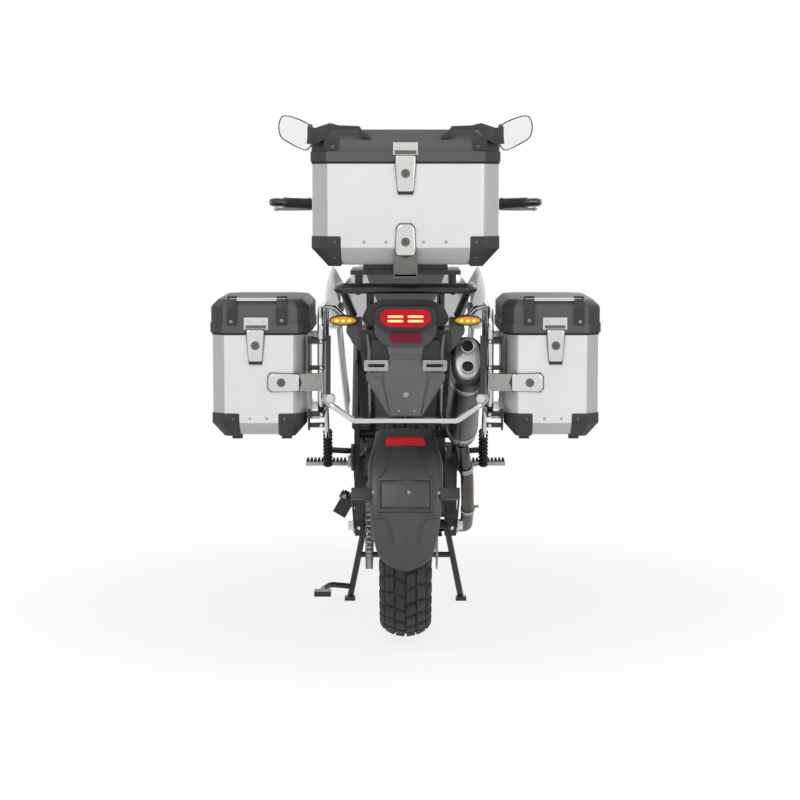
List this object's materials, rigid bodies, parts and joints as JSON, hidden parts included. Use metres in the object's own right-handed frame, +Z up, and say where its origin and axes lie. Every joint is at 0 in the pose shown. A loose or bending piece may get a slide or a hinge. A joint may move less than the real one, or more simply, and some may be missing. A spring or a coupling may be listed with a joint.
{
  "type": "adventure motorcycle with aluminium luggage cases",
  "caption": "Upright adventure motorcycle on its centre stand, with wire wheels, chain drive, high side silencer and metal top and side cases.",
  "frame": {"origin": "middle of the machine's bounding box, on the ground", "axes": "+Z up, +Y forward along the machine, +X to the rider's right"},
  "size_m": [1.068, 2.318, 1.555],
  "materials": {
    "frame_paint": "satin",
    "engine_alloy": "satin",
    "black_metal": "satin",
    "steel_pipe": "brushed",
    "muffler_shell": "brushed",
    "spring_steel": "gloss",
    "chain_steel": "satin",
    "black_plastic": "matte",
    "silver_paint": "gloss",
    "lamp_lens": "clear",
    "screen_clear": "clear",
    "seat_cover": "matte",
    "lamp_red": "gloss",
    "lamp_amber": "gloss",
    "steel_bright": "polished",
    "case_alloy": "satin",
    "cast_alloy": "satin",
    "fork_metal": "satin",
    "grip_rubber": "matte",
    "tyre_rubber": "matte",
    "rim_black": "satin",
    "disc_steel": "brushed",
    "lid_dark": "satin"
  },
  "bodies": {
    "root": {"main_frame": "frame_paint", "subframe": "frame_paint", "engine_block": "engine_alloy", "radiator": "black_metal", "exhaust_header": "steel_pipe", "muffler": "muffler_shell", "swing_arm": "black_metal", "rear_shock": "spring_steel", "drive_chain": "chain_steel", "chain_guard": "black_plastic", "hugger": "black_plastic", "fuel_tank": "silver_paint", "side_fairings": "silver_paint", "front_fairing": "silver_paint", "headlamp": "lamp_lens", "windscreen": "screen_clear", "instrument_panel": "black_plastic", "rider_seat": "seat_cover", "pillion_seat": "seat_cover", "tail_cowl": "black_plastic", "tail_lamp": "lamp_red", "plate_holder": "black_plastic", "turn_signals": "lamp_amber", "tail_rack": "black_metal", "side_racks": "steel_bright", "top_case_body": "case_alloy", "left_case_body": "case_alloy", "right_case_body": "case_alloy", "case_latches": "steel_bright", "footpegs": "cast_alloy", "skid_plate": "cast_alloy"},
    "steering": {"fork_yokes": "cast_alloy", "fork_legs": "fork_metal", "handlebar": "black_metal", "bar_controls": "grip_rubber", "mirrors": "black_plastic", "front_mudguard": "black_plastic", "front_calipers": "black_metal"},
    "front_wheel": {"front_tyre": "tyre_rubber", "front_rim": "rim_black", "front_discs": "disc_steel"},
    "rear_wheel": {"rear_tyre": "tyre_rubber", "rear_rim": "rim_black", "rear_disc": "disc_steel", "rear_sprocket": "disc_steel"},
    "centre_stand": {"centre_stand": "black_metal"},
    "side_stand": {"side_stand": "black_metal"},
    "top_lid": {"top_case_lid": "lid_dark"},
    "left_lid": {"left_case_lid": "lid_dark"},
    "right_lid": {"right_case_lid": "lid_dark"}
  },
  "joints": [
    {"name": "steering", "type": "hinge", "parent": "root", "child": "steering", "pos_m": [0, 0.41791, 1.02466], "axis": [0, -0.454, 0.891], "range_deg": [-34, 34]},
    {"name": "front_wheel", "type": "hinge", "parent": "steering", "child": "front_wheel", "pos_m": [0, 0.83, 0.329], "axis": [-1, 0, 0], "continuous": true},
    {"name": "rear_wheel", "type": "hinge", "parent": "root", "child": "rear_wheel", "pos_m": [0, -0.695, 0.341], "axis": [-1, 0, 0], "continuous": true},
    {"name": "centre_stand", "type": "hinge", "parent": "root", "child": "centre_stand", "pos_m": [0, -0.095, 0.29], "axis": [-1, 0, 0], "range_deg": [0, 80]},
    {"name": "side_stand", "type": "hinge", "parent": "root", "child": "side_stand", "pos_m": [-0.2, 0.205, 0.3], "axis": [0.866, 0, -0.5], "range_deg": [0, 98]},
    {"name": "top_case_lid", "type": "hinge", "parent": "root", "child": "top_lid", "pos_m": [0, -0.724, 1.384], "axis": [-1, 0, 0], "range_deg": [0, 85]},
    {"name": "left_case_lid", "type": "hinge", "parent": "root", "child": "left_lid", "pos_m": [0, -0.584, 0.922], "axis": [-1, 0, 0], "range_deg": [0, 95]},
    {"name": "right_case_lid", "type": "hinge", "parent": "root", "child": "right_lid", "pos_m": [0, -0.584, 0.922], "axis": [-1, 0, 0], "range_deg": [0, 95]}
  ]
}
